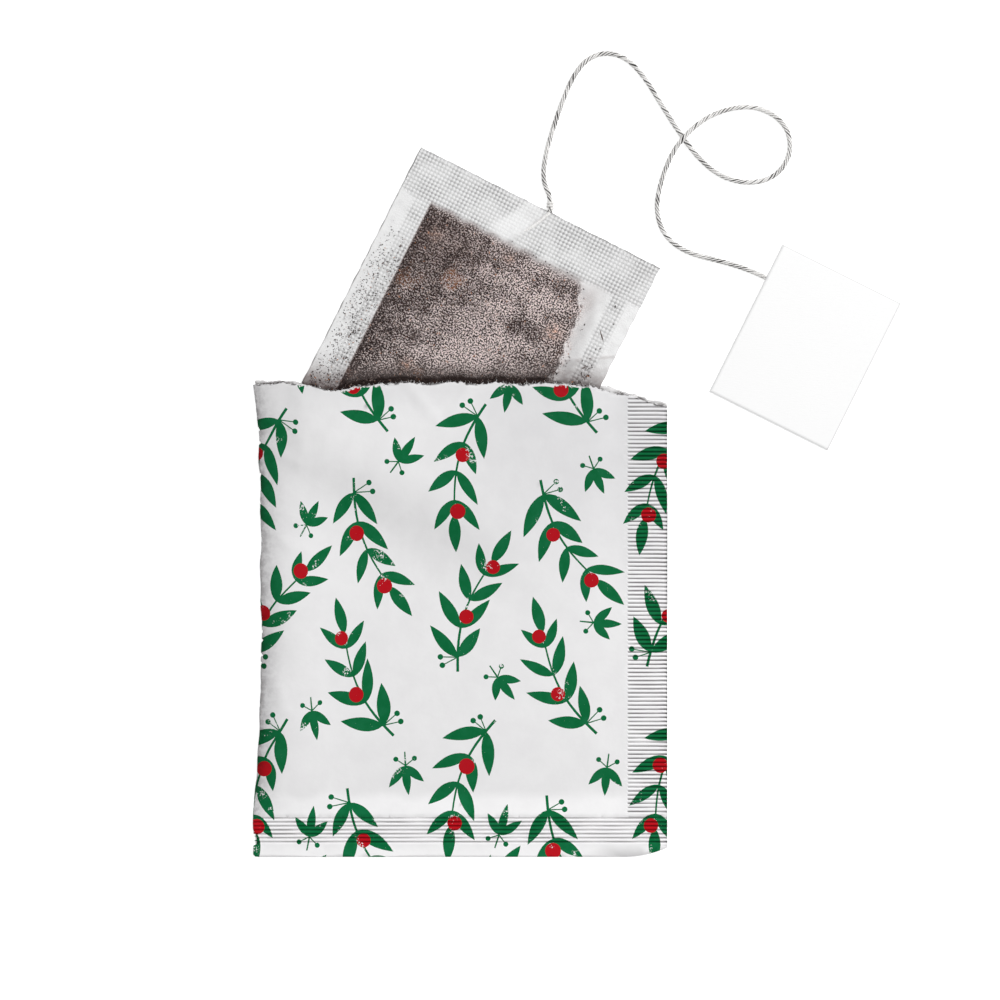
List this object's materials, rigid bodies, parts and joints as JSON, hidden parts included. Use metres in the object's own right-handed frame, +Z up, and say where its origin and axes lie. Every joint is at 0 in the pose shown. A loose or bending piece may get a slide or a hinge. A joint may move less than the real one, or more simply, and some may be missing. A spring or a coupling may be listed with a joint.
{
  "type": "tea bag",
  "caption": "Heat-sealed filter paper tea bag with string and card tag, lying half out of a flat crimped paper envelope torn open at the top.",
  "frame": {"origin": "middle of the envelope's flat underside, half way between its sealed bottom edge and its torn mouth", "axes": "+Z up out of the surface it lies on, +Y from the envelope's bottom seal to its torn mouth, +X from the fold to the side seal"},
  "size_m": [0.1127, 0.1401, 0.0047],
  "materials": {
    "printed_paper": "thin coated paper with a green and red leaf print",
    "filter_paper": "translucent embossed filter paper over dark tea",
    "cotton": "twisted undyed cotton string",
    "card": "plain white card"
  },
  "bodies": {
    "root": {"envelope": "printed_paper", "tea_bag": "filter_paper", "string": "cotton", "tag": "card"}
  },
  "joints": []
}
